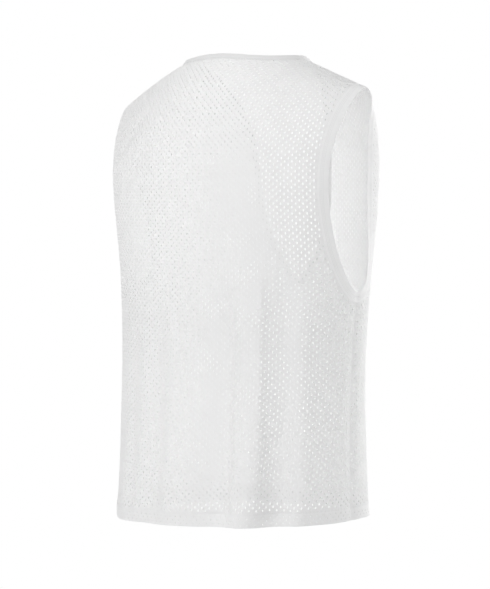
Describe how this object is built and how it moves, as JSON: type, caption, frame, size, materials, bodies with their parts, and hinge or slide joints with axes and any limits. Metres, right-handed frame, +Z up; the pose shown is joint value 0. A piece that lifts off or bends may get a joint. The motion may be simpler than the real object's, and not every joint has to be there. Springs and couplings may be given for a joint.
{
  "type": "training bib",
  "caption": "Hollow sleeveless training bib of even white mesh cloth, filled out as worn, with open neck, armholes and hem, each with a narrow band.",
  "frame": {"origin": "midway between the two neck points and level with them, where the wearer's shoulders hold the bib", "axes": "+Z up along the back, +Y towards the wearer's back, +X towards the wearer's left"},
  "size_m": [0.4637, 0.296, 0.6974],
  "materials": {
    "mesh": "matt white knitted mesh",
    "binding": "matt white knitted band with lines of stitching"
  },
  "bodies": {
    "root": {"back_panel": "mesh", "front_panel": "mesh", "hem_back": "mesh", "hem_front": "mesh", "armhole_band_right": "binding", "armhole_band_left": "binding", "neck_band": "binding"}
  },
  "joints": []
}
